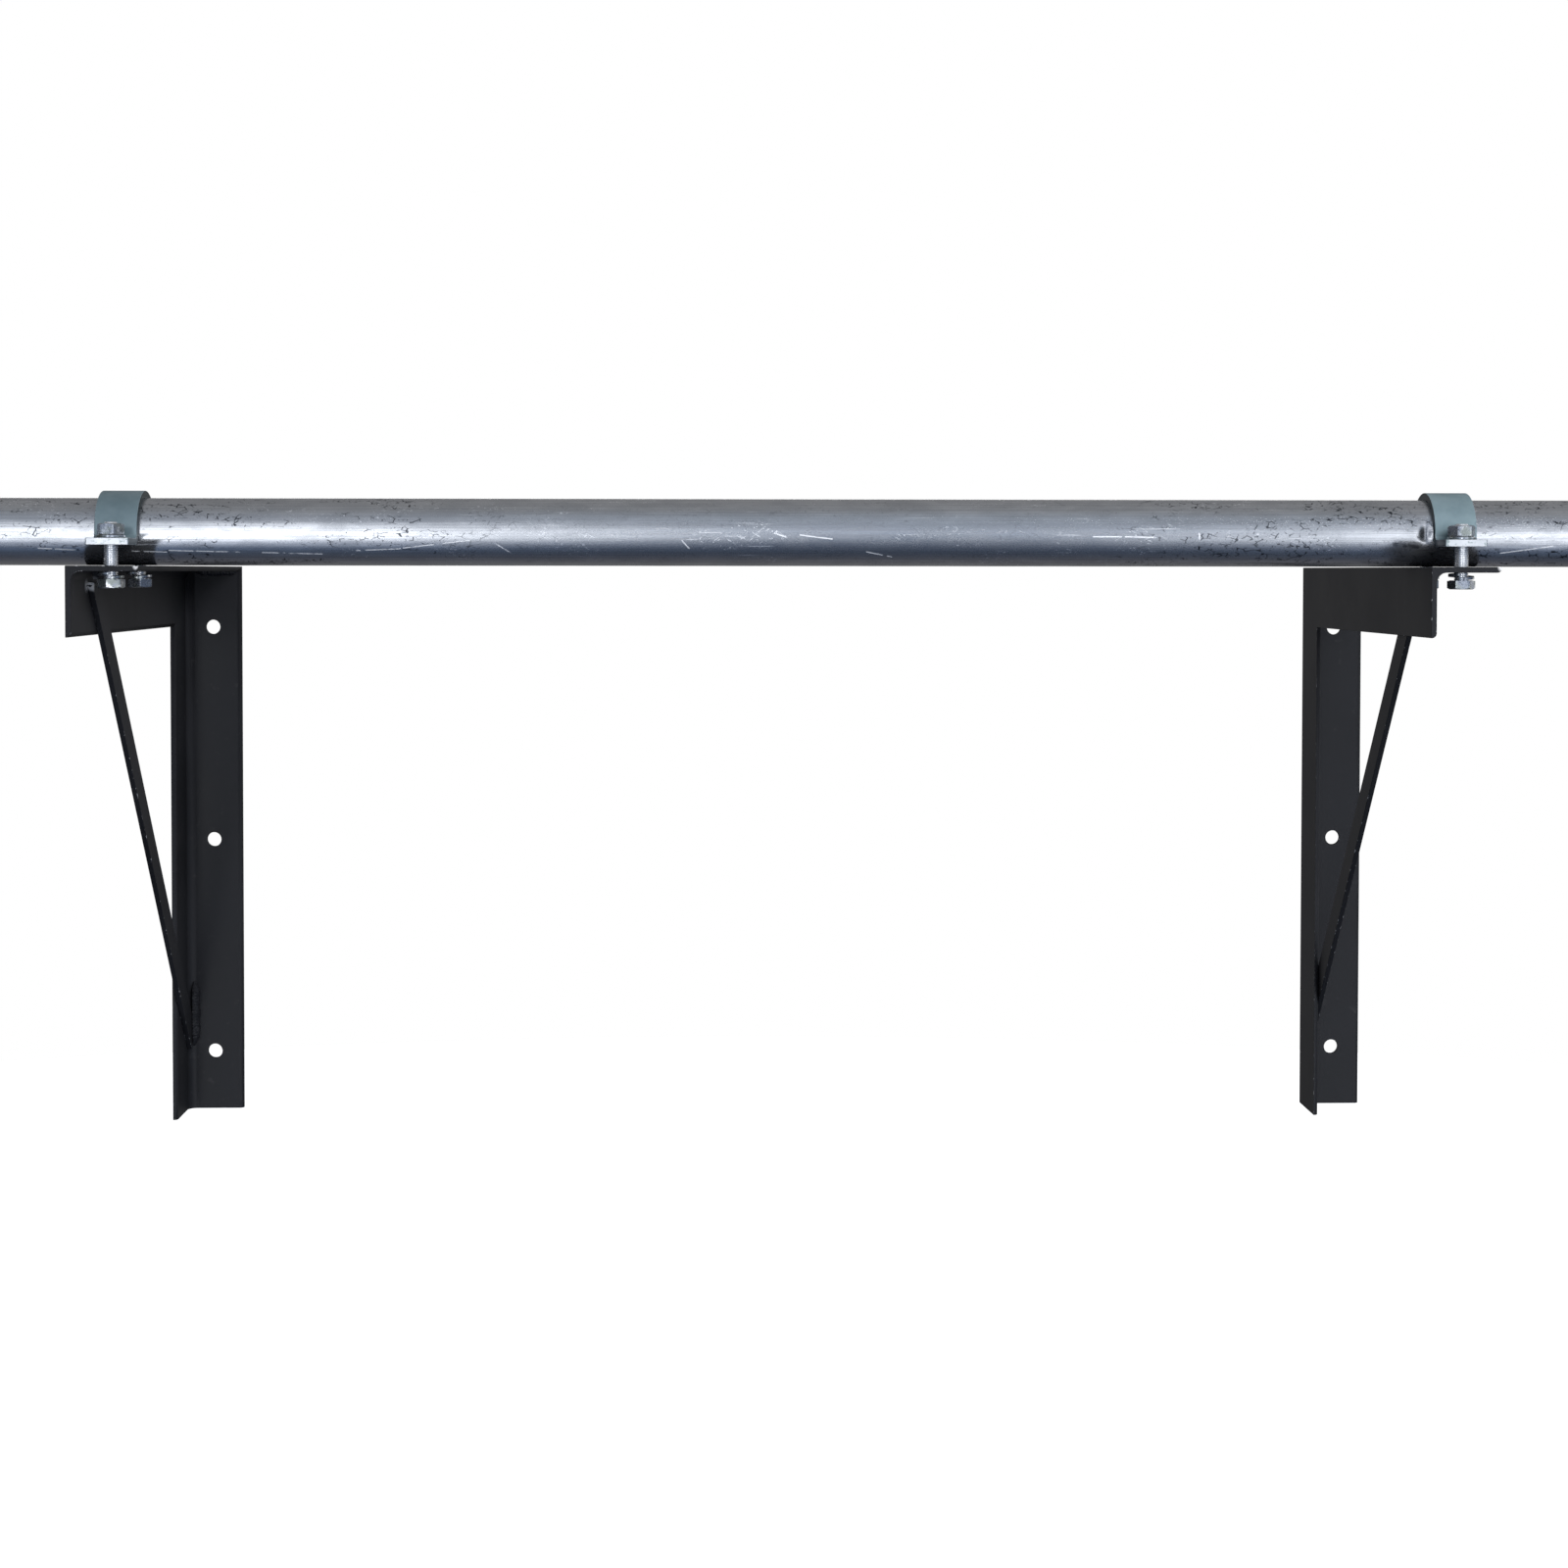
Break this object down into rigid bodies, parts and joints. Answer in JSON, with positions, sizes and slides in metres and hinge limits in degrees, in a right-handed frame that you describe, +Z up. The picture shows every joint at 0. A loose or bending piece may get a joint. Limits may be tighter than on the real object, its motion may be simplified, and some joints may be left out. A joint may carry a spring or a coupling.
{
  "type": "pull up bar",
  "caption": "Wall-mounted pull up bar: a galvanised steel tube held by bolted saddle straps on two black angle-iron brackets with diagonal braces.",
  "frame": {"origin": "centre of the rectangle of wall holes, on the wall plane", "axes": "+X along the bar, +Y into the wall, +Z up"},
  "size_m": [1.206, 0.38, 0.5138],
  "materials": {
    "black_coated_steel": "satin black powder coat, slightly worn at the edges",
    "coated_weld": "rough weld bead under the same black coat",
    "galvanised_tube": "hot-dip galvanised steel with drawn streaks and blotches",
    "blue_zinc_strap": "semi-gloss blue-green zinc plate with bright cut edges",
    "bright_zinc_fastener": "bright zinc plate",
    "plug_plastic": "matt black moulded plastic"
  },
  "bodies": {
    "bracket_left": {"upright_left": "black_coated_steel", "arm_left": "black_coated_steel", "brace_left": "black_coated_steel", "corner_weld_left": "coated_weld", "brace_top_weld_left": "coated_weld", "brace_foot_weld_left": "coated_weld", "clamp_bolt_left_front": "bright_zinc_fastener", "clamp_bolt_left_back": "bright_zinc_fastener", "spring_washer_left_front": "bright_zinc_fastener", "spring_washer_left_back": "bright_zinc_fastener"},
    "bracket_right": {"upright_right": "black_coated_steel", "arm_right": "black_coated_steel", "brace_right": "black_coated_steel", "corner_weld_right": "coated_weld", "brace_top_weld_right": "coated_weld", "brace_foot_weld_right": "coated_weld", "clamp_bolt_right_front": "bright_zinc_fastener", "clamp_bolt_right_back": "bright_zinc_fastener", "spring_washer_right_front": "bright_zinc_fastener", "spring_washer_right_back": "bright_zinc_fastener"},
    "bar": {"bar_tube": "galvanised_tube", "end_plug_left": "plug_plastic", "end_plug_right": "plug_plastic"},
    "clamp_left": {"strap_left": "blue_zinc_strap", "flat_washer_left_front": "bright_zinc_fastener", "flat_washer_left_back": "bright_zinc_fastener"},
    "nut_left_front": {"nut_left_front": "bright_zinc_fastener"},
    "nut_left_back": {"nut_left_back": "bright_zinc_fastener"},
    "clamp_right": {"strap_right": "blue_zinc_strap", "flat_washer_right_front": "bright_zinc_fastener", "flat_washer_right_back": "bright_zinc_fastener"},
    "nut_right_front": {"nut_right_front": "bright_zinc_fastener"},
    "nut_right_back": {"nut_right_back": "bright_zinc_fastener"}
  },
  "joints": [
    {"name": "bar_turn", "type": "hinge", "parent": "bracket_left", "child": "bar", "pos_m": [0, -0.317, 0.2554], "axis": [1, 0, 0], "continuous": true},
    {"name": "bracket_spacing", "type": "slide", "parent": "bracket_left", "child": "bracket_right", "axis": [1, 0, 0], "range_m": [-0.5, 0.09]},
    {"name": "clamp_lift_left", "type": "slide", "parent": "bracket_left", "child": "clamp_left", "axis": [0, 0, 1], "range_m": [0, 0.006]},
    {"name": "nut_turn_left_front", "type": "hinge", "parent": "clamp_left", "child": "nut_left_front", "pos_m": [-0.4755, -0.3595, 0.2565], "axis": [0, 0, 1], "range_deg": [0, 1440.5]},
    {"name": "nut_turn_left_back", "type": "hinge", "parent": "clamp_left", "child": "nut_left_back", "pos_m": [-0.4755, -0.2745, 0.2565], "axis": [0, 0, 1], "range_deg": [0, 1440.5]},
    {"name": "clamp_lift_right", "type": "slide", "parent": "bracket_right", "child": "clamp_right", "axis": [0, 0, 1], "range_m": [0, 0.006]},
    {"name": "nut_turn_right_front", "type": "hinge", "parent": "clamp_right", "child": "nut_right_front", "pos_m": [0.4775, -0.3595, 0.2565], "axis": [0, 0, 1], "range_deg": [0, 1440.5]},
    {"name": "nut_turn_right_back", "type": "hinge", "parent": "clamp_right", "child": "nut_right_back", "pos_m": [0.4775, -0.2745, 0.2565], "axis": [0, 0, 1], "range_deg": [0, 1440.5]}
  ],
  "couplings": [
    {"joint": "nut_turn_left_front", "follows": "clamp_lift_left", "rad_per_m": 4188.8},
    {"joint": "nut_turn_left_back", "follows": "clamp_lift_left", "rad_per_m": 4188.8},
    {"joint": "nut_turn_right_front", "follows": "clamp_lift_right", "rad_per_m": 4188.8},
    {"joint": "nut_turn_right_back", "follows": "clamp_lift_right", "rad_per_m": 4188.8}
  ]
}
